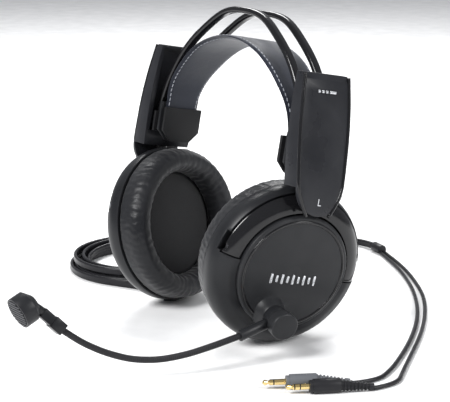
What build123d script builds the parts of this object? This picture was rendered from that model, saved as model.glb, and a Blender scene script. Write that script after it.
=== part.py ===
from build123d import *
import math
import os

# Stereo headset with a boom microphone, in millimetres. It is drawn upright, with the origin midway
# between the ear cups, +X towards the wearer's left ear, +Y towards the back of the head and +Z up.
# At the end it leans back and is set on the surface that it stands on.

# ---- driving dimensions ------------------------------------------------------------------------
LEAN = 11.0  # how far the whole headset leans back, in degrees
MIDDLE = (2.8355, -62.4255)  # middle of the headset's footprint, from below the middle of the cups
HEIGHT = 53.091  # of the middle of the cups above the surface
CUP_X = 62.5  # from the middle to the centre of a cup's rim
CUP_TILT = {"left": 11.5, "right": 13.0}  # lower edge inwards, in degrees
CUP_YAW = {"left": -10.5, "right": 10.5}  # front edge inwards, in degrees

CUP_R = 52.3  # outer radius of a cup
RIM_DEPTH = 4.0  # straight rim behind the cushion
DOME_R = 13.6  # radius of the quarter-round dome between rim and cap
DOME_AT = CUP_R - DOME_R  # distance of the dome's centre from the cup's axis
CAP_R = 37.6
CAP_EDGE = 2.3
CAP_CROWN = 3.6
CAVITY_R = 35.5
CAVITY_DEPTH = 11.4
BAFFLE_R = 49.2
BAFFLE_THICK = 2.0
SCREW_CIRCLE = 46.5
CUSHION_R = 51.3
CUSHION_HOLE_R = 34.5
CUSHION_DEPTH = 19.0
DRIVER_R = 20.0
WALL = 2.4

OUTLET_R = 52.9  # flat underside of the right cup's cord outlet

FORK_IN = 10.4  # fork's section, as radii about the dome's centre
FORK_OUT = 13.3
FORK_FROM = -6.0  # degrees round the cup, from the back over the top
FORK_SWEEP = 176.0
FORK_CLEAR = 6.8  # radius of the recess under the fork
RECESS_EDGE = 31.0  # edge of the recess nearest the rim, in degrees round the dome's centre
RECESS_END = 2.4  # how much longer the recess is than the fork, in degrees
STEM_SLOT = 8.0  # half width of the slot for the fork's stem, in degrees round the cup
END_SLOT = 15.0  # the wider part of the recess at each end of the fork, which swings as the cup tilts
PIN_AT = (8.0, 12.0)  # axis of the fork pins: outwards from the rim plane, and up
PIN_R = 1.8
RUNNING = 0.05  # radial clearance of a running fit

ARM_Y = -1.5
ARM_HALF = 18.7  # half width of an arm at its ends
ARM_BULGE = 1.6
ARM_LOW = 35.0
ARM_TOP = 121.0
SKIRT_X = 86.9  # inner side of an arm's lower end, which hangs over the fork
SWIVEL_X = 81.2
STEM_R = 3.0
SKIRT_TOP = 52.0
HUB_LOW = 43.5  # the stem's collar and the stem itself
STEM_TOP = 65.0
CHANNEL_LOW = 62.0

HOOP_W = 6.2
HOOP_T = 4.0
HOOP_YS = {"front_hoop": -10.2, "rear_hoop": 9.2}
HOOP_SPAN = 75.8
HOOP_FOOT = 64.0
HOOP_SPRING = 71.0  # height at which the arch starts
HOOP_APEX = 151.9

STRAP_T = 3.0
STRAP_W_END = 26.0
STRAP_W_CROWN = 38.0
STRAP_END_X = 65.0
STRAP_LOW = 64.0
STRAP_BEND = 84.0  # where the strap leaves the sliders and starts to curve
STRAP_APEX = 134.0
SLIDER_PLATE = 2.3
SLIDER_Z = (57.0, 83.0)
SLIDER_W = 30.0

BOOM_AT = (-10.0, -26.0)  # boss centre on the left cap, back and up from its middle
BOSS_END = 24.0  # end of the boss, outwards from the rim plane
HUB_R = 8.0
HUB_LENGTH = 8.0
KNOB_R = 8.8
KNOB_LENGTH = 7.0

CORD_R = 2.0
LEAD_R = 1.35
COIL_AT = (-137.0, 28.0)
COIL_OUTER_R = 55.0
COIL_INNER_R = 36.0
COIL_HEIGHT = 12.0
PLUG_SHAFT_R = 1.75
PLUG_SHAFT = 14.0
PLUG_BARREL_R = 4.3
PLUG_BARREL = 18.0
PLUG_BOOT = 20.0
BOOT_END_R = 2.3
PLUG_HEADING = 60.0  # the way the plugs' cords leave, in degrees from +X
PLUG_TIPS = {"stereo": (118.4, -59.8), "mic": (132.5, -53.8)}

shapes = {}


# ---- helpers -----------------------------------------------------------------------------------
def turned(*edges):
    """A solid turned about X from a closed outline of edges in the XY plane."""
    return revolve(make_face(edges), Axis.X)


def turned_points(points):
    return revolve(make_face(Polyline(*points, close=True)), Axis.X)


def rod(start, end, radius):
    """A round bar from one point to another."""
    a, b = Vector(*start), Vector(*end)
    plane = Plane(origin=a, z_dir=b - a)
    return plane * Cylinder(radius, (b - a).length, align=(Align.CENTER, Align.CENTER, Align.MIN))


def dome_point(radius, degrees):
    """A point of a circle about the dome's centre; 90 degrees is straight outwards."""
    a = math.radians(degrees)
    return (radius * math.sin(a), DOME_AT + radius * math.cos(a))


def dome_arc(radius, start, end):
    points = [dome_point(radius, a) for a in (start, (start + end) / 2, end)]
    return ThreePointArc(*points)


def crown_arc(edge, apex):
    """An arc from an edge point to a point on the axis, which it meets squarely."""
    (n0, r0), n1 = edge, apex
    rise = n1 - n0
    radius = (r0**2 + rise**2) / (2 * rise)
    middle = n1 - radius + math.sqrt(radius**2 - (r0 / 2) ** 2)
    return ThreePointArc((n0, r0), (middle, r0 / 2), (n1, 0))


def box(x, y, z):
    """A box from three (low, high) pairs."""
    size = [high - low for low, high in (x, y, z)]
    middle = [(high + low) / 2 for low, high in (x, y, z)]
    return Pos(*middle) * Box(*size)


def sign(side):
    return 1 if side == "left" else -1


def mirrored(shape, side):
    return shape if side == "left" else mirror(shape, Plane.YZ)


def on_cup(shape, side):
    """Puts a piece drawn for the left cup, about X, where that side's cup is."""
    s = sign(side)
    turn = Rot(0, 0, CUP_YAW[side]) * Rot(0, s * CUP_TILT[side], 0)
    return Pos(s * CUP_X, 0, 0) * turn * mirrored(shape, side)


# ---- ear cups, drawn about X with the rim plane at x = 0 -----------------------------------------
def fork_band(inner, outer, low, high, start, sweep):
    """A piece of a ring whose section lies between two circles about the dome's centre."""
    section = make_face(
        [
            dome_arc(outer, low, high),
            Line(dome_point(outer, high), dome_point(inner, high)),
            dome_arc(inner, high, low),
            Line(dome_point(inner, low), dome_point(outer, low)),
        ]
    )
    return Rot(start, 0, 0) * revolve(section, Axis.X, sweep)


def ring_cut(low, start, sweep):
    """A piece of the space round the dome's centre, in straight facets that stand clear of the dome."""
    angles = [low + (94 - low) * k / 8 for k in range(9)]
    floor = [dome_point(FORK_CLEAR, a) for a in angles]
    roof = [dome_point(DOME_R + 2, a) for a in reversed(angles)]
    section = make_face(Polyline(*floor, *roof, close=True))
    return Rot(start, 0, 0) * revolve(section, Axis.X, sweep)


def cup_shell(side):
    dome = [dome_point(DOME_R, a) for a in (0, 22.5, 45, 67.5, 90)]
    crown = dome[-1]
    shell = turned(
        Line((-RIM_DEPTH, 0), (-RIM_DEPTH, CUP_R)),
        Line((-RIM_DEPTH, CUP_R), (0, CUP_R)),
        Spline(*dome, tangents=[(1, 0), (0, -1)]),
        Line(crown, (crown[0], 0)),
        Line((crown[0], 0), (-RIM_DEPTH, 0)),
    )
    if side == "right":
        shell += Rot(LEAN, 0, 0) * box((-RIM_DEPTH, 6), (-9, 9), (-OUTLET_R, -46))
    shell -= turned_points(
        [
            (-RIM_DEPTH - 1, 0),
            (-RIM_DEPTH - 1, BAFFLE_R + 0.1),
            (-BAFFLE_THICK, BAFFLE_R + 0.1),
            (-BAFFLE_THICK, 44.5),
            (2.0, 44.5),
            (2.0, CAVITY_R),
            (CAVITY_DEPTH, CAVITY_R),
            (CAVITY_DEPTH, 0),
        ]
    )
    shell -= ring_cut(RECESS_EDGE, FORK_FROM - RECESS_END / 2, FORK_SWEEP + RECESS_END)
    shell -= ring_cut(2, 90 - STEM_SLOT, 2 * STEM_SLOT)
    for start in (FORK_FROM, FORK_FROM + FORK_SWEEP - END_SLOT):
        shell -= ring_cut(21, start, END_SLOT)
    outwards, up = PIN_AT
    return shell - rod((outwards, -43, up), (outwards, 43, up), PIN_R + RUNNING)


def cup_cap(side):
    low = DOME_R + 0.08
    edge = low + CAP_EDGE
    cap = turned(
        Line((low, 0), (low, CAP_R)),
        Line((low, CAP_R), (edge - 1.0, CAP_R)),
        Line((edge - 1.0, CAP_R), (edge, CAP_R - 0.9)),
        crown_arc((edge, CAP_R - 0.9), low + CAP_CROWN),
        Line((low + CAP_CROWN, 0), (low, 0)),
    )
    if side == "left":
        y, z = BOOM_AT
        foot = low + 1
        cap += Pos(0, y, z) * turned_points(
            [(foot, 0), (foot, 11.5), (foot + 4, 9.4), (BOSS_END, HUB_R), (BOSS_END, 0)]
        )
        cap -= rod((BOSS_END - 8, y, z), (BOSS_END + 1, y, z), PIN_R)
    return cap


def baffle():
    plate = turned_points(
        [
            (-RIM_DEPTH, DRIVER_R + 0.1),
            (-RIM_DEPTH, BAFFLE_R),
            (-BAFFLE_THICK, BAFFLE_R),
            (-BAFFLE_THICK, DRIVER_R + 0.1),
        ]
    )
    for k in range(12):
        a = math.radians(30 * k)
        y, z = 28.5 * math.cos(a), 28.5 * math.sin(a)
        plate -= rod((-RIM_DEPTH - 1, y, z), (1, y, z), 2.2)
    for y, z in screw_places():
        plate -= rod((-RIM_DEPTH - 1, y, z), (1, y, z), 1.1)
    return plate


def screw_places():
    turns = [math.radians(a) for a in (45, 135, 225, 315)]
    return [(SCREW_CIRCLE * math.cos(a), SCREW_CIRCLE * math.sin(a)) for a in turns]


def driver_frame():
    return turned_points(
        [(-3.6, 15), (-3.6, DRIVER_R), (1.5, DRIVER_R), (4.5, 12), (4.5, 8.6), (3.0, 8.6), (0.4, 15)]
    )


def driver_magnet():
    return turned_points([(1.0, 0), (1.0, 8.5), (8.5, 8.5), (8.5, 0)])


def diaphragm():
    return turned_points([(-3.3, 0), (-2.9, 0), (-1.6, 8), (-2.6, 14.9), (-3.0, 14.9), (-2.0, 8)])


def driver_cloth():
    back = -RIM_DEPTH - 0.1
    return turned_points([(back - 1.5, 0), (back - 1.5, 34), (back, 34), (back, 0)])


def ear_cushion():
    back = -RIM_DEPTH - 0.1
    face = back - CUSHION_DEPTH
    middle = (CUSHION_R + CUSHION_HOLE_R) / 2
    return turned(
        Line((back, CUSHION_HOLE_R), (back, CUSHION_R - 1.5)),
        ThreePointArc((back, CUSHION_R - 1.5), ((back + face) / 2, CUSHION_R), (face + 5, CUSHION_R - 1.2)),
        ThreePointArc((face + 5, CUSHION_R - 1.2), (face, middle), (face + 5, CUSHION_HOLE_R + 0.6)),
        Line((face + 5, CUSHION_HOLE_R + 0.6), (back, CUSHION_HOLE_R)),
    )


def baffle_screws():
    return [rod((-RIM_DEPTH - 0.05, y, z), (-BAFFLE_THICK, y, z), 1.1) for y, z in screw_places()]


# ---- fork: the C that carries a cup, with the stem that turns in the arm --------------------------
def fork(side):
    s = sign(side)
    outwards, up = PIN_AT
    band = fork_band(FORK_IN, FORK_OUT, 37, 88.5, FORK_FROM, FORK_SWEEP)
    band -= rod((outwards, -60, up), (outwards, 60, up), PIN_R)
    x = s * SWIVEL_X
    hub = rod((x, ARM_Y, HUB_LOW), (x, ARM_Y, SKIRT_TOP - 0.4), STEM_R + 0.9)
    return on_cup(band, side) + hub + rod((x, ARM_Y, HUB_LOW + 2), (x, ARM_Y, STEM_TOP), STEM_R)


def fork_pins():
    outwards, up = PIN_AT
    return [rod((outwards, y * 34.2, up), (outwards, y * 46, up), PIN_R) for y in (-1, 1)]


# ---- arms: hollow housings that hold the hoops' feet and guide the sliders -----------------------
def arm_outer_x():
    """The arm's outer face, as points up from its lower end."""
    return [(89.7, ARM_LOW), (89.2, 47), (87.0, 64), (84.2, 84), (81.6, 102), (79.0, 117)]


def arm_blank(inset, low, high, inner):
    """A solid under the arm's outer face, inset from it, from one height to another."""
    face = Spline(*[(x - inset, z) for x, z in arm_outer_x()])
    (x0, z0), (x1, z1) = ((end.X, end.Y) for end in (face @ 0, face @ 1))
    back = Polyline((x1, z1), (x1 - 3, z1 + 4), (inner - 6, z1 + 4), (inner, z0), (x0, z0))
    outline = make_face([face, back])
    blank = extrude(Plane.XZ.offset(-30) * outline, 60)
    return blank & box((0, 120), (-40, 40), (low, high))


def arm_outline(half, low):
    middle = (ARM_LOW + ARM_TOP) / 2 + 8
    shape = make_face(
        [
            ThreePointArc((-half, low + half), (0, low), (half, low + half)),
            ThreePointArc((half, low + half), (half + ARM_BULGE, middle), (half - 0.6, ARM_TOP + 2)),
            Line((half - 0.6, ARM_TOP + 2), (-half + 0.6, ARM_TOP + 2)),
            ThreePointArc((-half + 0.6, ARM_TOP + 2), (-half - ARM_BULGE, middle), (-half, low + half)),
        ]
    )
    return Pos(0, ARM_Y, 0) * extrude(Plane.YZ * shape, 120)


def arm_shell(side):
    shell = arm_blank(0, ARM_LOW, ARM_TOP, 77) & arm_outline(ARM_HALF, ARM_LOW)
    shell -= box((0, SKIRT_X), (-40, 40), (0, SKIRT_TOP))
    channel = arm_blank(WALL, CHANNEL_LOW, ARM_TOP - 2.2, 40)
    shell -= channel & box((0, 120), (ARM_Y - 16.4, ARM_Y + 16.4), (0, 200))
    shell += box((73.6, 84), (ARM_Y - 2.5, ARM_Y + 2.5), (CHANNEL_LOW, 76))
    for y in HOOP_YS.values():
        shell += box((78.3, 84), (y - 2.5, y + 2.5), (66, 76))
    shell -= Pos(SWIVEL_X, ARM_Y, 0) * Cylinder(STEM_R + RUNNING, 130.6)
    shell -= rod((70, ARM_Y, 71), (80, ARM_Y, 71), 1.2)
    return mirrored(shell, side)


def arm_clamp(side):
    """The plate that holds the hoops' feet down in the arm."""
    plate = box((71.2, 73.3), (ARM_Y - 15.9, ARM_Y + 15.9), (CHANNEL_LOW + 0.4, 76))
    plate -= rod((70, ARM_Y, 71), (80, ARM_Y, 71), 1.2)
    return mirrored(plate, side)


def arm_screw(side):
    screw = rod((71.0, ARM_Y, 71), (79.5, ARM_Y, 71), 1.2) + rod((70.0, ARM_Y, 71), (71.15, ARM_Y, 71), 2.2)
    return mirrored(screw, side)


def return_elastic(side):
    """The elastic that pulls a slider back down to the clamp."""
    return mirrored(rod((70.3, ARM_Y - 7, 66), (70.3, ARM_Y - 7, 82), 0.7), side)


# ---- head hoops, strap and sliders ----------------------------------------------------------------
def hoop(name):
    x, z, y = HOOP_SPAN, HOOP_SPRING, HOOP_YS[name]
    height = HOOP_APEX - z
    half = [(0.0, 1.0), (0.24, 0.972), (0.46, 0.853), (0.68, 0.68), (0.853, 0.46), (0.962, 0.22)]
    right = [(x * u, z + height * v) for u, v in half] + [(x * 1.005, HOOP_FOOT)]
    left = [(-px, pz) for px, pz in reversed(right[1:])]
    path = Plane.XZ.offset(-y) * Spline(*left, *right)
    section = Plane(path @ 0, x_dir=(0, 1, 0), z_dir=path % 0) * RectangleRounded(HOOP_W, HOOP_T, 1.7)
    return sweep(section, path)


def strap_face(thick):
    """One face of the strap: straight up from its right end, over the crown and down to its left end."""
    x = STRAP_END_X + thick
    shoulder, haunch = (58.0 + 0.94 * thick, 104 + 0.34 * thick), (38.5 + 0.7 * thick, 123 + 0.7 * thick)
    right = [(x, STRAP_BEND), shoulder, haunch]
    left = [(-px, pz) for px, pz in reversed(right)]
    arch = Spline(*right, (0, STRAP_APEX + thick), *left, tangents=[(0, 1), (0, -1)])
    return [Line((x, STRAP_LOW), right[0]), arch, Line(left[-1], (-x, STRAP_LOW))]


def headband_strap():
    outer, inner = strap_face(STRAP_T / 2), strap_face(-STRAP_T / 2)
    ends = [Line(outer[-1] @ 1, inner[-1] @ 1), Line(inner[0] @ 0, outer[0] @ 0)]
    outline = make_face([*outer, *inner, *ends])
    band = extrude(Plane.XZ * outline, 30, both=True)
    end, crown = STRAP_W_END / 2, STRAP_W_CROWN / 2
    side = [(end, 50), (end, 84), (crown, 124), (crown, 150)]
    taper = make_face(Polyline(*side, *[(-y, z) for y, z in reversed(side)], close=True))
    return band & Pos(0, ARM_Y, 0) * extrude(Plane.YZ * taper, 100, both=True)


def slider_plate(near, top):
    """A plate beside the strap's end, with its two lower corners cut off."""
    low, high = SLIDER_Z
    plate = box((near, near + SLIDER_PLATE), (ARM_Y - SLIDER_W / 2, ARM_Y + SLIDER_W / 2), (low, high - top))
    return chamfer(plate.edges().filter_by(Axis.X).group_by(Axis.Z)[0], 7)


def slider(side):
    """The plate that rides in front of the hoops' legs and carries one end of the strap."""
    return mirrored(slider_plate(STRAP_END_X + STRAP_T / 2 + 0.2, 0), side)


def strap_clamp(side):
    """The plate that holds the strap's end against the slider."""
    plate = slider_plate(STRAP_END_X - STRAP_T / 2 - 0.2 - SLIDER_PLATE, 3)
    return mirrored(plate, side)


# ---- microphone boom -----------------------------------------------------------------------------
SOCKET = ((80.9, -20.5, -33.8), (80.6, -40.0, -41.6))
GOOSENECK = [
    (80.6, -40.0, -41.6),
    (77.8, -56.0, -48.0),
    (73.2, -72.0, -54.6),
    (66.8, -87.5, -59.4),
    (60.0, -102.5, -60.6),
    (53.4, -117.0, -58.0),
    (47.6, -130.0, -53.4),
    (42.5, -141.5, -47.0),
]
SLEEVE_END = (38.6, -154.6, -37.2)
MIC_CENTRE = (38.0, -170.0, -38.4)
MIC_BACK = (0.0, 0.83, 0.56)  # unit direction from the grille to the back of the microphone
MIC_R = 9.6


def toward(start, direction, distance):
    return tuple(a + distance * b for a, b in zip(start, direction))


def tube_path(points):
    """Straight runs joined by arcs, each as large as its two runs allow; prints the smallest arc."""
    vectors = [Vector(*p) for p in points]
    runs = [b - a for a, b in zip(vectors, vectors[1:])]
    radii = []
    for before, after in zip(runs, runs[1:]):
        half_turn = math.radians(before.get_angle(after) / 2)
        radii.append(0.45 * min(before.length, after.length) / math.tan(half_turn))
    print("arcs", round(min(radii), 1), "to", round(max(radii), 1))
    return FilletPolyline(*points, radius=radii)


def tube(points, radius):
    path = tube_path(points)
    solid = sweep(Plane(path @ 0, z_dir=path % 0) * Circle(radius), path)
    print("  volume over section times length", round(solid.volume / (math.pi * radius**2 * path.length), 4))
    return solid


def boom_pivot_screw():
    y, z = BOOM_AT
    return rod((BOSS_END - 7.9, y, z), (BOSS_END + HUB_LENGTH + 3, y, z), PIN_R)


def boom_hub():
    y, z = BOOM_AT
    hub = rod((BOSS_END + 0.15, y, z), (BOSS_END + HUB_LENGTH, y, z), HUB_R)
    return hub - rod((BOSS_END, y, z), (BOSS_END + HUB_LENGTH + 1, y, z), PIN_R + RUNNING)


def boom_knob():
    y, z = BOOM_AT
    start = BOSS_END + HUB_LENGTH + 0.15
    knob = rod((start, y, z), (start + KNOB_LENGTH, y, z), KNOB_R)
    knob = fillet(knob.edges().group_by(Axis.X)[-1], 1.2)
    return knob - rod((start - 1, y, z), (BOSS_END + HUB_LENGTH + 3, y, z), PIN_R)


def boom_socket(hub):
    return rod(SOCKET[0], SOCKET[1], 3.3) - hub


def mic_sleeve():
    start, end = Vector(*GOOSENECK[-1]), Vector(*SLEEVE_END)
    plane = Plane(origin=start, z_dir=end - start)
    length = (end - start).length
    first = Box(7.4, 7.4, length / 2, align=(Align.CENTER, Align.CENTER, Align.MIN))
    second = Pos(0, 0, length / 2) * Box(6.2, 6.2, length / 2, align=(Align.CENTER, Align.CENTER, Align.MIN))
    return plane * (first + second)


def mic_plane():
    return Plane(origin=MIC_CENTRE, z_dir=MIC_BACK)


def mic_head(sleeve):
    """The round capsule housing, open at the grille, with a neck to the sleeve."""
    shell = Cylinder(MIC_R, 8.0, align=(Align.CENTER, Align.CENTER, Align.MIN))
    shell += Pos(0, 0, 8.0) * Cone(MIC_R, 5.0, 4.0, align=(Align.CENTER, Align.CENTER, Align.MIN))
    shell -= Cylinder(MIC_R - 1.3, 6.5, align=(Align.CENTER, Align.CENTER, Align.MIN))
    neck = rod(SLEEVE_END, toward(MIC_CENTRE, MIC_BACK, 9.5), 3.0)
    return (mic_plane() * shell) + neck - sleeve


def mic_grille():
    disc = Cylinder(MIC_R - 1.4, 1.4, align=(Align.CENTER, Align.CENTER, Align.MIN))
    for k in range(-4, 5):
        half = math.sqrt((MIC_R - 2.6) ** 2 - (1.7 * k) ** 2)
        disc -= Pos(0, 1.7 * k, 0.7) * Box(2 * half, 0.8, 3)
    return mic_plane() * Pos(0, 0, 0.2) * disc


def mic_capsule():
    return mic_plane() * Pos(0, 0, 2.2) * Cylinder(4.8, 4.2, align=(Align.CENTER, Align.CENTER, Align.MIN))


# ---- cord, laid on the surface: these points are in the finished frame, one list per stretch -------
CORD_Z = 2.1
LEAD_Z = 1.45
LINK = [(-69.5, -3.4), (-79.5, -4.2), (-90.0, -7.4), (-100.5, -12.4)]
TAIL = [
    (-150.0, 78.5),
    (-129.0, 86.0),
    (-112.0, 104.0),
    (-104.0, 134.0),
    (-104.5, 163.0),
    (-98.0, 187.0),
    (-80.5, 199.0),
    (-63.0, 196.0),
]
SPLITTER = ((-64.0, 196.2), (-52.5, 193.4))
LEADS = {
    "stereo": [
        (-53.0, 192.2),
        (-22.0, 178.0),
        (13.0, 158.0),
        (46.0, 134.0),
        (77.0, 106.0),
        (104.0, 75.0),
        (126.0, 45.0),
        (143.0, 19.0),
        (150.8, 0.5),
        (144.4, -14.8),
    ],
    "mic": [
        (-52.4, 195.4),
        (-20.0, 182.2),
        (15.5, 162.0),
        (49.5, 138.8),
        (80.5, 109.5),
        (107.5, 78.5),
        (130.5, 48.0),
        (148.5, 24.0),
        (162.0, 7.0),
        (158.5, -8.8),
    ],
}


def flat_tube(points, height, radius):
    return tube([(x, y, height) for x, y in points], radius)


def cord_relief():
    return rod((-56.4, -1.6, 2.7), (-70.0, -3.5, 2.7), 2.6)


def cord_coil():
    ring = Cylinder(COIL_OUTER_R, COIL_HEIGHT) - Cylinder(COIL_INNER_R, COIL_HEIGHT)
    ring = fillet(ring.edges(), 4)
    return Pos(COIL_AT[0], COIL_AT[1], COIL_HEIGHT / 2) * ring


def cord_splitter():
    (x0, y0), (x1, y1) = SPLITTER
    return rod((x0, y0, 3.7), (x1, y1, 3.7), 3.6)


def plug_point(name, along, height):
    x, y = PLUG_TIPS[name]
    a = math.radians(PLUG_HEADING)
    return (x + along * math.cos(a), y + along * math.sin(a), height)


def plug_contacts(name):
    height = PLUG_BARREL_R + 0.05
    shaft = rod(plug_point(name, 2.6, height), plug_point(name, PLUG_SHAFT, height), PLUG_SHAFT_R)
    ball = Pos(*plug_point(name, 1.75, height)) * Sphere(PLUG_SHAFT_R - 0.1)
    return shaft + ball


def plug_barrel(name):
    height = PLUG_BARREL_R + 0.05
    collar = rod(plug_point(name, PLUG_SHAFT, height), plug_point(name, PLUG_SHAFT + 2.2, height), 3.6)
    end = plug_point(name, PLUG_SHAFT + PLUG_BARREL, height)
    return collar + rod(plug_point(name, PLUG_SHAFT + 2.2, height), end, PLUG_BARREL_R)


def plug_boot(name):
    start = plug_point(name, PLUG_SHAFT + PLUG_BARREL, PLUG_BARREL_R + 0.05)
    end = plug_point(name, PLUG_SHAFT + PLUG_BARREL + PLUG_BOOT, BOOT_END_R + 0.1)
    plane = Plane(origin=start, z_dir=Vector(*end) - Vector(*start))
    boot = Cone(PLUG_BARREL_R - 0.5, BOOT_END_R, PLUG_BOOT, align=(Align.CENTER, Align.CENTER, Align.MIN))
    return plane * boot


# ---- assembly --------------------------------------------------------------------------------------
def build():
    for side in ("left", "right"):
        for name, shape in (
            ("cup_shell", cup_shell(side)),
            ("cup_cap", cup_cap(side)),
            ("baffle", baffle()),
            ("driver_frame", driver_frame()),
            ("driver_magnet", driver_magnet()),
            ("diaphragm", diaphragm()),
            ("driver_cloth", driver_cloth()),
            ("ear_cushion", ear_cushion()),
        ):
            shapes[f"{side}_{name}"] = on_cup(shape, side)
        shapes[f"{side}_baffle_screws"] = Compound([on_cup(x, side) for x in baffle_screws()])
        shapes[f"{side}_fork_pins"] = Compound([on_cup(x, side) for x in fork_pins()])
        for name in (fork, arm_shell, arm_clamp, arm_screw, return_elastic, slider, strap_clamp):
            shapes[f"{side}_{name.__name__}"] = name(side)
    for name in HOOP_YS:
        shapes[name] = hoop(name)
    shapes["headband_strap"] = headband_strap()
    shapes["boom_pivot_screw"] = on_cup(boom_pivot_screw(), "left")
    hub = on_cup(boom_hub(), "left")
    shapes["boom_hub"] = hub
    shapes["boom_knob"] = on_cup(boom_knob(), "left")
    blank = rod((BOSS_END, *BOOM_AT), (BOSS_END + HUB_LENGTH + 1, *BOOM_AT), HUB_R)
    shapes["boom_socket"] = boom_socket(on_cup(blank, "left"))
    shapes["boom_gooseneck"] = tube(GOOSENECK, 2.0)
    sleeve = mic_sleeve()
    shapes["mic_sleeve"] = sleeve
    shapes["mic_head"] = mic_head(sleeve)
    shapes["mic_grille"] = mic_grille()
    shapes["mic_capsule"] = mic_capsule()


build()
lean = Rot(-LEAN, 0, 0)
stand = Pos(-MIDDLE[0], -MIDDLE[1], HEIGHT)
for name, shape in shapes.items():
    shapes[name] = stand * lean * shape
boxes = [shape.bounding_box() for shape in shapes.values()]
print("x", round(min(b.min.X for b in boxes), 3), round(max(b.max.X for b in boxes), 3))
print("y", round(min(b.min.Y for b in boxes), 3), round(max(b.max.Y for b in boxes), 3))
print("z", round(min(b.min.Z for b in boxes), 3), round(max(b.max.Z for b in boxes), 3))
cords = {
    "cord_relief": cord_relief(),
    "cord_link": flat_tube(LINK, CORD_Z, CORD_R),
    "cord_coil": cord_coil(),
    "cord_tail": flat_tube(TAIL, CORD_Z, CORD_R),
    "cord_splitter": cord_splitter(),
}
for name in LEADS:
    cords[f"{name}_lead"] = flat_tube(LEADS[name], LEAD_Z, LEAD_R)
    cords[f"{name}_plug_contacts"] = plug_contacts(name)
    cords[f"{name}_plug_barrel"] = plug_barrel(name)
    cords[f"{name}_plug_boot"] = plug_boot(name)
for name, shape in cords.items():
    shapes[name] = Pos(-MIDDLE[0], -MIDDLE[1], 0) * shape
os.makedirs("parts", exist_ok=True)
for name, shape in shapes.items():
    export_step(shape, f"parts/{name}.step")
print(len(shapes), "nodes")
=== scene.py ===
"""Looks of the stereo headset: camera, cords, cushions, strap, trim and materials over the CAD frame."""
import math

import bpy
from mathutils import Matrix, Vector, noise


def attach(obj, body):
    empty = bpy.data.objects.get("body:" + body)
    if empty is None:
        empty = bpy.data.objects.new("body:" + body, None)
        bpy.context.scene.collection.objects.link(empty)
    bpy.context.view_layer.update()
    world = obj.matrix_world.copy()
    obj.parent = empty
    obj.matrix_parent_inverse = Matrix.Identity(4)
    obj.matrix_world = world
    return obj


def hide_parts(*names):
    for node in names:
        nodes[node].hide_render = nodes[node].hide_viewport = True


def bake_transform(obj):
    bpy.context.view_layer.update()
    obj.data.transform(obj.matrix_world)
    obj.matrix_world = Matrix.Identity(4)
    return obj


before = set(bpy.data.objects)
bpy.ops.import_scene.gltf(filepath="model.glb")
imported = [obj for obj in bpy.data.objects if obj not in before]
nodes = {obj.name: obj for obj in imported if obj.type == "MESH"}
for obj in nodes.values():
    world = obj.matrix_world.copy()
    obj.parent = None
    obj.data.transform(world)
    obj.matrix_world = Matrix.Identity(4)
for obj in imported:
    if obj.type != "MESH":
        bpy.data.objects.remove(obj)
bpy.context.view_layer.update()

# ---- driving dimensions, in millimetres as in the part --------------------------------------------
LEAN = 11.0
MIDDLE = (2.8355, -62.4255)
HEIGHT = 53.091
CUP_X = 62.5
CUP_TILT = {"left": 11.5, "right": 13.0}
CUP_YAW = {"left": -10.5, "right": 10.5}
SIDES = ("left", "right")
MM = 0.001

HEADSET = (
    Matrix.Translation((-MIDDLE[0] * MM, -MIDDLE[1] * MM, HEIGHT * MM))
    @ Matrix.Rotation(math.radians(-LEAN), 4, "X")
    @ Matrix.Scale(MM, 4)
)


def sign(side):
    return 1 if side == "left" else -1


def cup_frame(side):
    s = sign(side)
    turn = Matrix.Rotation(math.radians(CUP_YAW[side]), 4, "Z") @ Matrix.Rotation(
        math.radians(s * CUP_TILT[side]), 4, "Y"
    )
    return HEADSET @ Matrix.Translation((s * CUP_X, 0, 0)) @ turn @ Matrix.Diagonal((s, 1, 1, 1))


def side_frame(side):
    return HEADSET @ Matrix.Diagonal((sign(side), 1, 1, 1))


# ---- camera -------------------------------------------------------------------------------------
camera_data = bpy.data.cameras.new("camera")
camera = bpy.data.objects.new("camera", camera_data)
bpy.context.scene.collection.objects.link(camera)
eye = Vector((0.75206, -0.50387, 0.31109))
target = Vector((-0.00674, 0.06793, 0.07949))
camera.location = eye
camera.rotation_euler = (target - eye).to_track_quat("-Z", "Y").to_euler()
camera_data.lens = 118.9
camera_data.sensor_width = 36
camera_data.clip_start = 0.01
bpy.context.scene.camera = camera


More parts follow.
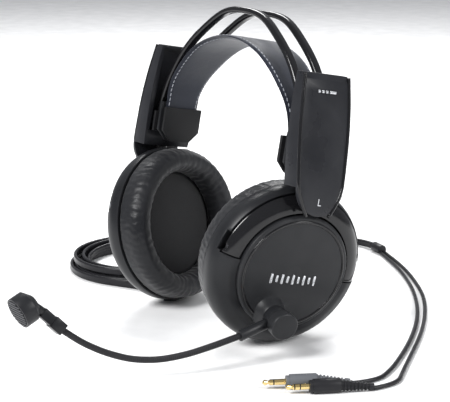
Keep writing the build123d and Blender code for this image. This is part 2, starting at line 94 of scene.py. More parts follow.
# ---- materials ----------------------------------------------------------------------------------
def material(
    name,
    color,
    rough,
    vary=0.06,
    grain=1800.0,
    bump=0.05,
    metal=0.0,
    coat=0.0,
    wear=0.0,
    sheen=0.0,
    specular=0.2,
):
    """Moulded or coated surface: fine grain, cloudy roughness and lighter rubbed patches."""
    m = bpy.data.materials.new(name)
    m.use_nodes = True
    tree = m.node_tree
    shader = tree.nodes["Principled BSDF"]
    where = tree.nodes.new("ShaderNodeTexCoord")
    cloud = tree.nodes.new("ShaderNodeTexNoise")
    cloud.inputs["Scale"].default_value = 38
    cloud.inputs["Detail"].default_value = 5
    fine = tree.nodes.new("ShaderNodeTexNoise")
    fine.inputs["Scale"].default_value = grain
    fine.inputs["Detail"].default_value = 3
    for n in (cloud, fine):
        tree.links.new(where.outputs["Object"], n.inputs["Vector"])
    tint = tree.nodes.new("ShaderNodeMix")
    tint.data_type = "RGBA"
    lighter = [min(1.0, c * (1.25 + wear) + 0.004 + 0.03 * wear) for c in color]
    tint.inputs["A"].default_value = (*[c * 0.85 for c in color], 1)
    tint.inputs["B"].default_value = (*lighter, 1)
    tree.links.new(cloud.outputs["Fac"], tint.inputs["Factor"])
    tree.links.new(tint.outputs["Result"], shader.inputs["Base Color"])
    spread = tree.nodes.new("ShaderNodeMapRange")
    spread.inputs["From Min"].default_value = 0.3
    spread.inputs["From Max"].default_value = 0.7
    spread.inputs["To Min"].default_value = max(0.02, rough - vary)
    spread.inputs["To Max"].default_value = min(1.0, rough + vary)
    tree.links.new(cloud.outputs["Fac"], spread.inputs["Value"])
    tree.links.new(spread.outputs["Result"], shader.inputs["Roughness"])
    height = tree.nodes.new("ShaderNodeBump")
    height.inputs["Strength"].default_value = bump
    height.inputs["Distance"].default_value = 0.0002
    tree.links.new(fine.outputs["Fac"], height.inputs["Height"])
    tree.links.new(height.outputs["Normal"], shader.inputs["Normal"])
    shader.inputs["Metallic"].default_value = metal
    shader.inputs["Coat Weight"].default_value = coat
    shader.inputs["Coat Roughness"].default_value = 0.08
    shader.inputs["Sheen Weight"].default_value = sheen
    shader.inputs["Specular IOR Level"].default_value = specular
    return m


def leatherette(name, color, rough, grain=900.0, strength=0.25, wrinkle=0.35):
    """Soft leatherette: pebbled cells over long shallow creases."""
    m = material(name, color, rough, vary=0.1, bump=0.05, sheen=0.15)
    tree = m.node_tree
    shader = tree.nodes["Principled BSDF"]
    where = tree.nodes["Texture Coordinate"]
    cells = tree.nodes.new("ShaderNodeTexVoronoi")
    cells.feature = "DISTANCE_TO_EDGE"
    cells.inputs["Scale"].default_value = grain
    creases = tree.nodes.new("ShaderNodeTexNoise")
    creases.inputs["Scale"].default_value = 130
    creases.inputs["Detail"].default_value = 6
    creases.inputs["Distortion"].default_value = 0.8
    for n in (cells, creases):
        tree.links.new(where.outputs["Object"], n.inputs["Vector"])
    first = tree.nodes.new("ShaderNodeBump")
    first.inputs["Strength"].default_value = wrinkle
    first.inputs["Distance"].default_value = 0.0012
    tree.links.new(creases.outputs["Fac"], first.inputs["Height"])
    second = tree.nodes.new("ShaderNodeBump")
    second.inputs["Strength"].default_value = strength
    second.inputs["Distance"].default_value = 0.00025
    tree.links.new(cells.outputs["Distance"], second.inputs["Height"])
    tree.links.new(first.outputs["Normal"], second.inputs["Normal"])
    tree.links.new(second.outputs["Normal"], shader.inputs["Normal"])
    return m


def weave(name, color, pitch):
    """Open woven cloth, as two crossed sets of bands."""
    m = material(name, color, 0.9, bump=0.1, sheen=0.3)
    tree = m.node_tree
    where = tree.nodes["Texture Coordinate"]
    total = tree.nodes.new("ShaderNodeMath")
    total.operation = "ADD"
    for k, way in enumerate(("Y", "Z")):
        bands = tree.nodes.new("ShaderNodeTexWave")
        bands.bands_direction = way
        bands.inputs["Scale"].default_value = math.tau / (20 * pitch)
        tree.links.new(where.outputs["Object"], bands.inputs["Vector"])
        tree.links.new(bands.outputs["Fac"], total.inputs[k])
    height = tree.nodes.new("ShaderNodeBump")
    height.inputs["Strength"].default_value = 0.5
    height.inputs["Distance"].default_value = 0.0002
    tree.links.new(total.outputs[0], height.inputs["Height"])
    tree.links.new(height.outputs["Normal"], tree.nodes["Principled BSDF"].inputs["Normal"])
    return m


def ribbed(m, way, pitch, depth):
    """Adds fine ribs across one direction to a material."""
    tree = m.node_tree
    bands = tree.nodes.new("ShaderNodeTexWave")
    bands.bands_direction = way
    bands.inputs["Scale"].default_value = math.tau / (20 * pitch)
    tree.links.new(tree.nodes["Texture Coordinate"].outputs["Object"], bands.inputs["Vector"])
    height = tree.nodes.new("ShaderNodeBump")
    height.inputs["Strength"].default_value = 0.7
    height.inputs["Distance"].default_value = depth
    tree.links.new(bands.outputs["Fac"], height.inputs["Height"])
    tree.links.new(tree.nodes["Bump"].outputs["Normal"], height.inputs["Normal"])
    tree.links.new(height.outputs["Normal"], tree.nodes["Principled BSDF"].inputs["Normal"])
    return m


SHELL = material("shell_satin", (0.008, 0.0085, 0.010), 0.33, bump=0.08, wear=0.2)
CAP = material("cap_satin", (0.011, 0.0115, 0.013), 0.38, bump=0.12, wear=0.3)
GLOSS = material("gloss_black", (0.005, 0.005, 0.006), 0.14, vary=0.04, bump=0.02, coat=0.35)
ARM = material("arm_satin", (0.009, 0.0095, 0.012), 0.30, bump=0.06, wear=0.3)
INNER = material("inner_matt", (0.008, 0.008, 0.009), 0.5, bump=0.15)
STEEL = material("plated_steel", (0.56, 0.57, 0.60), 0.28, metal=1.0, bump=0.05)
SILVER = material("silver_trim", (0.52, 0.53, 0.55), 0.3, metal=1.0, bump=0.04)
FILM = material("film", (0.50, 0.48, 0.42), 0.35, bump=0.1)
CLOTH = weave("speaker_weave", (0.004, 0.004, 0.005), 0.0006)
CUSHION = leatherette("cushion_leatherette", (0.008, 0.0085, 0.0105), 0.36)
STRAP = leatherette(
    "strap_leatherette",
    (0.014, 0.017, 0.027),
    0.40,
    grain=1100.0,
    strength=0.3,
    wrinkle=0.12,
)
THREAD = ribbed(material("thread", (0.30, 0.31, 0.34), 0.7, bump=0.3), "DIAGONAL", 0.0005, 0.0001)
NECK = ribbed(material("gooseneck_rubber", (0.014, 0.014, 0.016), 0.46, bump=0.1), "Y", 0.0011, 0.0003)
JACKET = material("cord_jacket", (0.008, 0.008, 0.010), 0.30, bump=0.08, wear=0.2)
GILT = material("gilt", (0.86, 0.62, 0.27), 0.2, metal=1.0, bump=0.03)
RING = material("ring_insulator", (0.012, 0.012, 0.012), 0.4)
GREY = material("plug_grey", (0.10, 0.105, 0.115), 0.45, bump=0.15, wear=0.2)
BLACK = material("plug_black", (0.014, 0.014, 0.016), 0.38, bump=0.12)
# Painted highlight: the mic ribs are satin black like the shells, but their base colour is lifted about four
# times lighter so that they show as light bars.
RIB_PAINTED_HIGHLIGHT = material("rib_satin_painted_highlight", (0.035, 0.036, 0.040), 0.35, bump=0.1, specular=0.4)
ELASTIC = ribbed(material("elastic", (0.03, 0.03, 0.03), 0.8, bump=0.3), "Z", 0.0006, 0.0002)


# ---- mesh helpers -------------------------------------------------------------------------------
def put(name, verts, faces, mat, body, slot, place=None, smooth=True):
    """A mesh object in the row frame that rides on a body; place takes its points from millimetres."""
    place = place or Matrix()
    verts = [place @ Vector(v) for v in verts]
    if place.determinant() < 0:
        faces = [tuple(reversed(f)) for f in faces]
    mesh = bpy.data.meshes.new(name)
    mesh.from_pydata(verts, [], faces)
    mesh.validate()
    for p in mesh.polygons:
        p.use_smooth = smooth
    obj = bpy.data.objects.new(name, mesh)
    bpy.context.scene.collection.objects.link(obj)
    for m in mat if isinstance(mat, list) else [mat]:
        mesh.materials.append(m)
    if body:
        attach(obj, body)
    return obj


def modifier(obj, kind, **settings):
    mod = obj.modifiers.new(kind.lower(), kind)
    for key, value in settings.items():
        setattr(mod, key, value)
    return mod


def lathe(profile, steps, closed=False):
    """Points and faces turned about X from (along, radius) pairs."""
    verts, faces = [], []
    count = len(profile)
    for k in range(steps):
        a = math.tau * k / steps
        verts += [(x, r * math.cos(a), r * math.sin(a)) for x, r in profile]
    for k in range(steps):
        here, there = k * count, (k + 1) % steps * count
        for i in range(count if closed else count - 1):
            j = (i + 1) % count
            faces.append((here + i, here + j, there + j, there + i))
    return verts, faces


def rounded_box(centre, size, radius):
    """A box with all its edges rounded, as eight corner patches joined up."""
    verts, faces = [], []
    cuts = 4
    low = [c - s / 2 + radius for c, s in zip(centre, size)]
    high = [c + s / 2 - radius for c, s in zip(centre, size)]
    rows = []
    for i in range(2 * cuts):
        lat = -math.pi / 2 + math.pi * (i if i < cuts else i - 1) / (2 * cuts - 2)
        z0 = low[2] if i < cuts else high[2]
        row = []
        for j in range(4 * cuts):
            quarter, step = divmod(j, cuts)
            lon = math.pi / 2 * (quarter + step / (cuts - 1))
            x0 = high[0] if quarter in (0, 3) else low[0]
            y0 = high[1] if quarter in (0, 1) else low[1]
            verts.append(
                (
                    x0 + radius * math.cos(lat) * math.cos(lon),
                    y0 + radius * math.cos(lat) * math.sin(lon),
                    z0 + radius * math.sin(lat),
                )
            )
            row.append(len(verts) - 1)
        rows.append(row)
    for a, b in zip(rows, rows[1:]):
        for j in range(len(a)):
            k = (j + 1) % len(a)
            faces.append((a[j], a[k], b[k], b[j]))
    faces.append(tuple(reversed(rows[0])))
    faces.append(tuple(rows[-1]))
    return verts, faces


def route(points, samples=12):
    """Points along the NURBS spline that has these control points, and the curve's data."""
    data = bpy.data.curves.new("route", "CURVE")
    data.dimensions = "3D"
    spline = data.splines.new("NURBS")
    spline.points.add(len(points) - 1)
    for p, q in zip(spline.points, points):
        p.co = (*q, 1)
    spline.order_u = 3
    spline.use_endpoint_u = True
    data.resolution_u = samples
    holder = bpy.data.objects.new("route", data)
    line = bpy.data.meshes.new_from_object(holder)
    found = [Vector(v.co) for v in line.vertices]
    bpy.data.objects.remove(holder)
    bpy.data.meshes.remove(line)
    return found, data


def sweep(path, section, up=Vector((0, 0, 1))):
    """Points and faces of a closed section swept along a path; the section is (sideways, upwards)."""
    verts, faces = [], []
    n = len(section)
    for i, p in enumerate(path):
        along = (path[min(i + 1, len(path) - 1)] - path[max(i - 1, 0)]).normalized()
        across = along.cross(up).normalized()
        rise = across.cross(along).normalized()
        verts += [p + across * u + rise * v for u, v in section]
    for i in range(len(path) - 1):
        for j in range(n):
            k = (j + 1) % n
            faces.append((i * n + j, i * n + k, (i + 1) * n + k, (i + 1) * n + j))
    faces.append(tuple(reversed(range(n))))
    faces.append(tuple(range((len(path) - 1) * n, len(path) * n)))
    return verts, faces


def flip(faces):
    return [tuple(reversed(f)) for f in faces]


def gather(verts, faces, more_verts, more_faces):
    """Adds one more part to a mesh that is being built."""
    faces += [tuple(i + len(verts) for i in face) for face in more_faces]
    verts += more_verts


# ---- cords: the same routes as the part, in metres ----------------------------------------------
LINK_HEIGHT = 0.0028
LINK = [(-0.0695, -0.0034), (-0.0795, -0.0042), (-0.0900, -0.0074), (-0.1005, -0.0124)]
TAIL = [
    (-0.1500, 0.0785, 0.0086),
    (-0.1290, 0.0860, 0.0062),
    (-0.1120, 0.1040, 0.0030),
    (-0.1040, 0.1340, 0.0028),
    (-0.1045, 0.1630, 0.0028),
    (-0.0980, 0.1870, 0.0028),
    (-0.0805, 0.1990, 0.0032),
    (-0.0630, 0.1960, 0.0037),
]
COIL_AT = (-0.137, 0.028)
COIL_START = -48
TURNS = 2367 / 360
STRAND = 0.00135
LEAD_HEIGHT = 0.0016
LEADS = {
    "stereo": [
        (-0.0530, 0.1922),
        (-0.0220, 0.1780),
        (0.0130, 0.1580),
        (0.0460, 0.1340),
        (0.0770, 0.1060),
        (0.1040, 0.0750),
        (0.1260, 0.0450),
        (0.1430, 0.0190),
        (0.1508, 0.0005),
        (0.1444, -0.0148),
    ],
    "mic": [
        (-0.0524, 0.1954),
        (-0.0200, 0.1822),
        (0.0155, 0.1620),
        (0.0495, 0.1388),
        (0.0805, 0.1095),
        (0.1075, 0.0785),
        (0.1305, 0.0480),
        (0.1485, 0.0240),
        (0.1620, 0.0070),
        (0.1585, -0.0088),
    ],
}


def between(x, points):
    """Straight-line table look-up."""
    for (x0, y0), (x1, y1) in zip(points, points[1:]):
        if x <= x1:
            return y0 + (y1 - y0) * (x - x0) / (x1 - x0)
    return points[-1][1]


def coil_points():
    """The wound part of the cord: inwards on the surface, then outwards over those turns."""
    radii = [(0, 0.0536), (0.62, 0.0402), (0.68, 0.0405), (1, 0.0521)]
    heights = [(0, 0.0029), (0.61, 0.0029), (0.68, 0.0088), (1, 0.0089)]
    count = int(16 * TURNS)
    found = []
    for k in range(1, count):
        t = k / count
        a = math.radians(COIL_START - 360 * TURNS * t)
        r = between(t, radii) + 0.0005 * math.sin(5.3 * a / 2)
        z = between(t, heights)
        found.append((COIL_AT[0] + r * math.cos(a), COIL_AT[1] + r * math.sin(a), z))
    return found


shift = Vector((-MIDDLE[0] * MM, -MIDDLE[1] * MM, 0))
main_points = [Vector((x, y, LINK_HEIGHT)) for x, y in LINK] + [Vector(p) for p in coil_points() + TAIL]
main_path, _ = route([p + shift for p in main_points], 5)
twin = []
for centre, start in ((-STRAND, 150), (STRAND, -30)):
    turns = [math.radians(start + 30 * k) for k in range(9)]
    twin += [(STRAND * math.cos(a), centre + STRAND * math.sin(a)) for a in turns]
verts, faces = sweep(main_path, twin)
main_cord = put("main_cord", verts, flip(faces), JACKET, "right_cup", "cord_jacket")
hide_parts("cord_link", "cord_coil", "cord_tail")

# ---- plugs --------------------------------------------------------------------------------------
PLUG_TIPS = {"stereo": (118.4, -59.8), "mic": (132.5, -53.8)}
PLUG_HEADING = 60.0
PLUG_HEIGHT = 4.35
TIP = [(0.1, 0.0), (0.35, 0.7), (0.9, 1.3), (1.7, 1.66), (2.5, 1.5), (3.3, 1.08), (3.9, 1.08), (4.5, 1.7)]
SHAFT = 1.75
RING_WIDTH = 0.7
RINGS = {"stereo": [6.4], "mic": [4.9, 8.2]}
BOOT_FROM, BOOT_LENGTH, BOOT_RADIUS = 32, 20, 3.75
BOOT_END_HEIGHT = 2.4
BOOT_RIBS = 8


def plug_frame(name):
    x, y = PLUG_TIPS[name]
    return (
        Matrix.Translation((x * MM + shift.x, y * MM + shift.y, PLUG_HEIGHT * MM))
        @ Matrix.Rotation(math.radians(PLUG_HEADING), 4, "Z")
        @ Matrix.Scale(MM, 4)
    )


def plug(name, slot, mat):
    """The gilt shaft with its insulating rings, and the ribbed boot that slopes down to the cord."""
    place = plug_frame(name)
    profile = list(TIP)
    rings = []
    for at in RINGS[name]:
        profile += [(at, SHAFT), (at + 0.02, 1.72), (at + RING_WIDTH, 1.72), (at + 0.72, SHAFT)]
        rings.append((at + 0.02, at + RING_WIDTH))
    profile += [(13.2, SHAFT), (13.9, SHAFT)]
    verts, faces = lathe(profile, 40)
    contact = put(f"{name}_plug_shaft", verts, faces, [GILT, RING], "right_cup", "gilt", place)
    local = place.inverted()
    for poly in contact.data.polygons:
        corners = [(local @ contact.data.vertices[v].co).x for v in poly.vertices]
        along = sum(corners) / len(corners)
        if any(a < along < b for a, b in rings):
            poly.material_index = 1
    modifier(contact, "EDGE_SPLIT", split_angle=math.radians(35))
    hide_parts(f"{name}_plug_contacts")
    drop = math.asin((PLUG_HEIGHT - BOOT_END_HEIGHT) / BOOT_LENGTH)
    slope = place @ Matrix.Translation((BOOT_FROM, 0, 0)) @ Matrix.Rotation(drop, 4, "Y")
    ribs = [(-0.2, BOOT_RADIUS)]
    for k in range(BOOT_RIBS):
        r = BOOT_RADIUS - 0.19 * k
        x = 0.4 + 2.15 * k
        ribs += [(x, r), (x + 0.15, r), (x + 0.3, r - 0.75), (x + 1.5, r - 0.8), (x + 1.65, r - 0.2)]
    ribs += [(18.2, 2.3), (BOOT_LENGTH, 2.05), (BOOT_LENGTH, 1.2)]
    verts, faces = lathe(ribs, 32)
    boot = put(f"{name}_boot", verts, faces, mat, "right_cup", slot, slope)
    modifier(boot, "EDGE_SPLIT", split_angle=math.radians(40))
    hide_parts(f"{name}_plug_boot")
    return contact, boot


plugs = {"stereo": plug("stereo", "plug_grey", GREY), "mic": plug("mic", "plug_black", BLACK)}
for name, points in LEADS.items():
    control = [Vector((x, y, LEAD_HEIGHT)) + shift for x, y in points]
    line, data = route(control, 10)
    data.name = f"{name}_cord"
    data.bevel_depth = STRAND
    data.bevel_resolution = 5
    data.use_fill_caps = True
    data.materials.append(JACKET)
    lead = bpy.data.objects.new(f"{name}_cord", data)
    bpy.context.scene.collection.objects.link(lead)
    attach(lead, "right_cup")
    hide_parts(f"{name}_lead")

# ---- ear cushions -------------------------------------------------------------------------------
BACK, FACE = -4.15, -22.9
RIM_OUT, RIM_IN = 50.6, 35.2
SWELL = 0.0007
CLOTH_FRAMES = 20


def cushion_section():
    """The pad's outline as (along, radius): up its outer side, over the face and down its inner side."""
    middle = (RIM_OUT + RIM_IN) / 2
    return [
        (BACK + 0.05, RIM_OUT - 1.2),
        (BACK - 0.5, RIM_OUT + 0.9),
        (BACK - 4.5, RIM_OUT + 0.6),
        (BACK - 8.5, RIM_OUT + 0.5),
        (BACK - 12.0, RIM_OUT - 0.2),
        (BACK - 15.0, RIM_OUT - 1.8),
        (FACE + 1.4, RIM_OUT - 4.0),
        (FACE + 0.3, middle + 2.6),
        (FACE + 0.3, middle - 2.6),
        (FACE + 1.6, RIM_IN + 3.4),
        (BACK - 14.0, RIM_IN + 1.2),
        (BACK - 10.0, RIM_IN + 0.2),
        (BACK - 5.5, RIM_IN + 0.1),
        (BACK - 2.0, RIM_IN + 0.3),
        (BACK, RIM_IN + 1.0),
        (BACK, middle),
    ]


def inflate(obj, place, cap):
    """Swells a closed pad with a short cloth simulation; its back ring stays where it is stuck down."""
    local = place.inverted()
    rest = [v.co.copy() for v in obj.data.vertices]
    held = obj.vertex_groups.new(name="held")
    held.add([i for i, p in enumerate(rest) if (local @ p).x > BACK - 1.0], 1.0, "REPLACE")
    cloth = modifier(obj, "CLOTH")
    s = cloth.settings
    s.quality = 6
    s.mass = 0.05
    s.tension_stiffness = s.compression_stiffness = 12
    s.shear_stiffness = 5
    s.bending_stiffness = 0.4
    s.use_pressure = True
    s.uniform_pressure_force = 4
    s.effector_weights.gravity = 0
    s.vertex_group_mass = "held"
    scene = bpy.context.scene
    for f in range(1, CLOTH_FRAMES + 1):
        scene.frame_set(f)
    solved = obj.evaluated_get(bpy.context.evaluated_depsgraph_get())
    moved = [v.co.copy() for v in solved.data.vertices]
    obj.modifiers.remove(cloth)
    scene.frame_set(1)
    for v, a, b in zip(obj.data.vertices, rest, moved):
        step = b - a
        if step.length > cap:
            step *= cap / step.length
        v.co = a + step


def gathered(obj, place):
    """Works short gathers into the pad: strongest where the skin turns over the edges."""
    local = place.inverted()
    for v in obj.data.vertices:
        n, y, z = local @ v.co
        r = math.hypot(y, z)
        a = math.atan2(z, y)
        outer = math.exp(-(((r - RIM_OUT) / 4.5) ** 2)) * min(1, max(0, (BACK - n) / 3))
        inner = math.exp(-(((r - RIM_IN - 1.5) / 4.0) ** 2)) * min(1, max(0, (BACK - n) / 3))
        seed = noise.noise(Vector((3.1 * math.cos(a), 3.1 * math.sin(a), 0.2 * n)))
        fold = math.sin(62 * a + 5 * seed) + 0.6 * math.sin(101 * a + 7 * seed + 0.12 * n)
        fine = noise.noise(Vector((0.32 * n, 0.32 * y, 0.32 * z)))
        depth = 0.20 * outer * fold + 0.24 * inner * (math.sin(44 * a + 4 * seed) + 0.4 * fold) + 0.25 * fine
        crease = -0.5 * math.exp(-(((n - BACK + 5.4) / 0.8) ** 2)) * (1 if r > 45 else 0)
        way = Vector((n - (BACK + FACE) / 2, (r - 43) * y / r, (r - 43) * z / r)).normalized()
        v.co = place @ (Vector((n, y, z)) + way * (depth + crease))


def smooth_copy(obj):
    """Applies one subdivision."""
    mod = modifier(obj, "SUBSURF", levels=1, render_levels=1)
    fine = bpy.data.meshes.new_from_object(obj.evaluated_get(bpy.context.evaluated_depsgraph_get()))
    obj.modifiers.remove(mod)
    obj.data = fine


for side in SIDES:
    place = cup_frame(side)
    verts, faces = lathe(cushion_section(), 132, closed=True)
    pad = put(f"{side}_pad", verts, faces, CUSHION, f"{side}_cup", "cushion_leatherette", place)
    inflate(pad, place, SWELL)
    smooth_copy(pad)
    gathered(pad, place)
    modifier(pad, "SUBSURF", levels=1, render_levels=1)
    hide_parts(f"{side}_ear_cushion")

# ---- head strap ---------------------------------------------------------------------------------
ACROSS = 22
STRAP_Y = -1.5
STITCH_LINE = 0.86
STITCH_STEP = 3.4
STRAP_HALF_WIDTH = [(0, 12.9), (84, 12.9), (124, 18.7), (140, 18.9)]
strap_half = [
    (65.0, 64.4),
    (65.0, 74.0),
    (65.0, 84.0),
    (63.2, 94.5),
    (56.6, 105.6),
    (38.6, 123.2),
    (20.0, 131.6),
]
strap_line = [Vector((x, 0, z)) for x, z in strap_half] + [Vector((0, 0, 134.4))]
strap_line += [Vector((-p.x, 0, p.z)) for p in reversed(strap_line[:-1])]
line, _ = route(strap_line, 10)
crown = min(range(len(line)), key=lambda i: abs(line[i].x))


def strap_rings(points):
    """(point, outward direction, half width) at each point of the strap's line."""
    rings = []
    for i, p in enumerate(points):
        along = (points[min(i + 1, len(points) - 1)] - points[max(i - 1, 0)]).normalized()
        rings.append((p, along.cross(Vector((0, 1, 0))), between(p.z, STRAP_HALF_WIDTH)))
    return rings


def strap_mesh(rings):
    """The strap's skin: rounded edges, with a shallow channel under each row of stitches."""
    verts, faces = [], []
    for p, out, half in rings:
        outline = []
        for j in range(ACROSS):
            u = -1 + 2 * j / (ACROSS - 1)
            channel = 0.35 * math.exp(-(((abs(u) - STITCH_LINE) / 0.03) ** 2))
            outline.append((u * half + STRAP_Y, 1.45 * math.sqrt(max(0.0, 1 - abs(u) ** 9)) - channel))
        verts += [p + Vector((0, y, 0)) + out * t for y, t in outline]
        verts += [p + Vector((0, y, 0)) - out * t for y, t in reversed(outline)]
    n = 2 * ACROSS
    for i in range(len(rings) - 1):
        for j in range(n):
            k = (j + 1) % n
            faces.append((i * n + j, i * n + k, (i + 1) * n + k, (i + 1) * n + j))
    return verts, faces


def stitch_mesh(rings):
    """One short thread at each step along both edges, on both faces."""
    verts, faces = [], []
    walked, due = 0.0, 4.0
    sideways = Vector((0, 1, 0))
    for (p, out, half), (q, _, _) in zip(rings, rings[1:]):
        step = (q - p).length
        along = (q - p).normalized()
        while walked + step >= due:
            at = p.lerp(q, (due - walked) / step)
            due += STITCH_STEP
            for edge, face in ((-1, -1), (-1, 1), (1, -1), (1, 1)):
                base = at + sideways * (edge * half * STITCH_LINE + STRAP_Y) + out * face * 1.12
                first = len(verts)
                for start, size in ((-1.3, 0.1), (-0.7, 0.36), (0.7, 0.36), (1.3, 0.1)):
                    for k in range(6):
                        a = math.tau * k / 6
                        around = sideways * math.cos(a) + out * math.sin(a)
                        verts.append(base + along * start + around * size)
                for r in range(3):
                    for k in range(6):
                        n = (k + 1) % 6
                        a, b = first + 6 * r, first + 6 * (r + 1)
                        faces.append((a + k, a + n, b + n, b + k))
        walked += step
    return verts, faces


all_rings = strap_rings(line)
for side, rings in (("left", all_rings[: crown + 1]), ("right", all_rings[crown:])):
    s = sign(side)
    skin = put(f"{side}_head_strap", *strap_mesh(rings), STRAP, None, "strap_leatherette", HEADSET)
    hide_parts("headband_strap")
    if side == "right":
        rings = rings[::-1]
    threads = put(f"{side}_strap_stitches", *stitch_mesh(rings), THREAD, None, "strap_leatherette", HEADSET)
    start = HEADSET @ Vector((s * 8, STRAP_Y, 134))
    for piece in (skin, threads):
        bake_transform(piece)

# ---- trim ---------------------------------------------------------------------------------------
ARM_FACE = [
    (89.7, 35.0),
    (89.2, 47.0),
    (87.0, 64.0),
    (84.2, 84.0),
    (81.6, 102.0),
    (79.0, 117.0),
    (78.4, 120.4),
]
ARM_HALF_WIDTH = [(35, 9), (40, 14.5), (47, 17.4), (56, 18.2), (84, 19.6), (100, 19.3), (121, 17.6)]
ARM_Y = -1.5
RAIL = 1.15
CAP_BARS = 9
for side in SIDES:
    place = side_frame(side)
    verts, faces = [], []
    for edge in (-1, 1):
        rail = []
        for x, z in ARM_FACE:
            half = between(z, ARM_HALF_WIDTH)
            rail.append(Vector((x - 0.15, ARM_Y + edge * half, z)))
        rail, _ = route(rail, 10)
        turns = [math.tau * k / 10 for k in range(10)]
        section = [(RAIL * math.cos(a), RAIL * math.sin(a)) for a in turns]
        v, f = sweep(rail, section, Vector((1, 0, 0)))
        gather(verts, faces, v, f)
    put(f"{side}_arm_rails", verts, flip(faces), GLOSS, "band", "arm_black", place)

    verts, faces = [], []
    for at, width in ((-6.5, 1.8), (-3.4, 1.8), (-0.3, 1.8), (4.6, 5.2)):
        v, f = rounded_box((80.62, ARM_Y + at, 110.5), (0.9, width, 1.8), 0.3)
        gather(verts, faces, v, f)
    put(f"{side}_arm_mark", verts, faces, SILVER, "band", "steel", place)

    place = cup_frame(side)
    verts, faces = [], []
    for k in range(CAP_BARS):
        y = -15.2 + 3.8 * k
        tall = 6.6 if k % 2 == 0 else 4.6
        v, f = rounded_box((17.2 - y * y / 1040, y, -3.5), (1.3, 1.7, tall), 0.5)
        gather(verts, faces, v, f)
    put(f"{side}_cap_bars", verts, faces, SILVER, f"{side}_cup", "steel", place)

    ring = [(16.05, 35.2), (16.5, 34.9), (16.62, 34.3), (16.35, 33.7), (15.9, 33.5)]
    verts, faces = lathe(ring, 120)
    bead = put(f"{side}_cap_bead", verts, faces, GLOSS, f"{side}_cup", "satin_black", place)
    modifier(bead, "SOLIDIFY", thickness=0.0002)

    letter = bpy.data.curves.new(f"{side}_letter", "FONT")
    letter.body = side[0].upper()
    letter.size = 6.4
    letter.extrude = 0.22
    letter.align_x = letter.align_y = "CENTER"
    holder = bpy.data.objects.new("letter", letter)
    mesh = bpy.data.meshes.new_from_object(holder)
    bpy.data.objects.remove(holder)
    stand = Matrix.Translation((sign(side) * 89.35, ARM_Y, 43.5)) @ Matrix.Rotation(
        math.radians(90 * sign(side)), 4, "Z"
    )
    stand = HEADSET @ stand @ Matrix.Rotation(math.radians(90), 4, "X")
    put(
        f"{side}_letter",
        [v.co for v in mesh.vertices],
        [tuple(p.vertices) for p in mesh.polygons],
        SILVER,
        "band",
        "steel",
        stand,
        smooth=False,
    )

# microphone: a row of proud ribs across the mouth of the head
MIC_RIB_STEP = 1.85
MIC_MOUTH_RADIUS = 8.3
mouth = Vector((38.0, -170.0, -38.4))
back = Vector((0.0, 0.83, 0.56)).normalized()
stack = back.cross(Vector((1, 0, 0)))
verts, faces = [], []
for k in range(-4, 5):
    half = math.sqrt(MIC_MOUTH_RADIUS**2 - (MIC_RIB_STEP * k) ** 2)
    v, f = rounded_box((0, 0, 0), (2 * half, 1.0, 1.5), 0.42)
    middle = mouth + stack * MIC_RIB_STEP * k + back * 0.1
    gather(verts, faces, [middle + Vector((1, 0, 0)) * a + stack * b + back * c for a, b, c in v], f)
# The ribs take the satin black with a painted highlight lifted into its base colour.
put("mic_ribs", verts, flip(faces), RIB_PAINTED_HIGHLIGHT, "boom", "satin_black", HEADSET)

# ---- finishes of the CAD nodes --------------------------------------------------------------------
FINISH = {
    "cup_shell": SHELL,
    "cup_cap": CAP,
    "baffle": INNER,
    "driver_frame": INNER,
    "driver_magnet": STEEL,
    "diaphragm": FILM,
    "driver_cloth": CLOTH,
    "baffle_screws": STEEL,
    "fork_pins": STEEL,
    "arm_shell": ARM,
    "arm_clamp": INNER,
    "arm_screw": STEEL,
    "return_elastic": ELASTIC,
    "slider": SHELL,
    "strap_clamp": INNER,
    "fork": GLOSS,
    "front_hoop": GLOSS,
    "rear_hoop": GLOSS,
    "boom_pivot_screw": STEEL,
    "boom_hub": SHELL,
    "boom_knob": CAP,
    "boom_socket": SHELL,
    "boom_gooseneck": NECK,
    "mic_sleeve": SHELL,
    "mic_head": SHELL,
    "mic_grille": INNER,
    "mic_capsule": STEEL,
    "cord_relief": JACKET,
    "cord_splitter": BLACK,
    "stereo_plug_barrel": GREY,
    "mic_plug_barrel": BLACK,
}
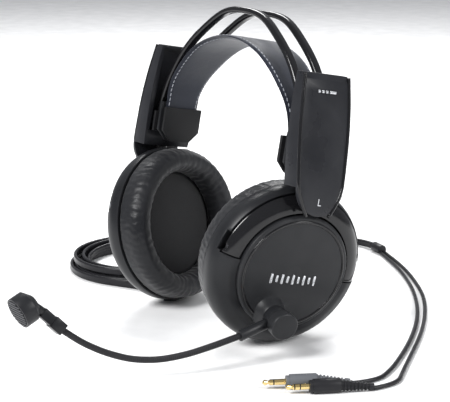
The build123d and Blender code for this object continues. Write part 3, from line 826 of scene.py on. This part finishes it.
SHARP = ("cloth", "diaphragm", "screws", "elastic", "pins", "magnet")
for name, obj in nodes.items():
    base = name.removeprefix("left_").removeprefix("right_")
    finish = FINISH.get(base) or FINISH.get(name)
    if finish is None:
        continue
    for s in obj.material_slots:
        s.link = "OBJECT"
        s.material = finish
    for p in obj.data.polygons:
        p.use_smooth = True
    if not any(word in name for word in SHARP):
        modifier(obj, "WELD", merge_threshold=0.00001)
        modifier(
            obj,
            "BEVEL",
            width=0.00035,
            segments=2,
            limit_method="ANGLE",
            angle_limit=math.radians(38),
            use_clamp_overlap=True,
            loop_slide=False,
        )
    modifier(obj, "EDGE_SPLIT", split_angle=math.radians(32))

# ---- floor and light ----------------------------------------------------------------------------
mesh = bpy.data.meshes.new("floor")
mesh.from_pydata([(-6, -6, 0), (6, -6, 0), (6, 6, 0), (-6, 6, 0)], [], [(0, 1, 2, 3)])
floor = bpy.data.objects.new("floor", mesh)
bpy.context.scene.collection.objects.link(floor)
mesh.materials.append(material("floor_pale", (0.92, 0.92, 0.92), 0.8, vary=0.03, grain=60, bump=0.02))

bpy.context.scene.view_settings.view_transform = "Standard"
bpy.context.scene.view_settings.exposure = -0.35
world = bpy.data.worlds.new("studio")
bpy.context.scene.world = world
world.use_nodes = True
world.node_tree.nodes["Background"].inputs["Color"].default_value = (0.93, 0.95, 1.0, 1)
world.node_tree.nodes["Background"].inputs["Strength"].default_value = 0.45


def softbox(name, at, size, power, look=(0, 0.05, 0.08)):
    data = bpy.data.lights.new(name, "AREA")
    data.shape = "RECTANGLE"
    data.size, data.size_y = size
    data.energy = power
    lamp = bpy.data.objects.new(name, data)
    bpy.context.scene.collection.objects.link(lamp)
    lamp.location = at
    lamp.rotation_euler = (Vector(look) - Vector(at)).to_track_quat("-Z", "Y").to_euler()


softbox("key", (0.1, -1.1, 1.1), (0.6, 0.6), 34)
softbox("fill", (1.3, 0.6, 0.9), (0.5, 0.9), 20)
softbox("back", (-0.9, 0.7, 1.2), (0.9, 0.6), 30)
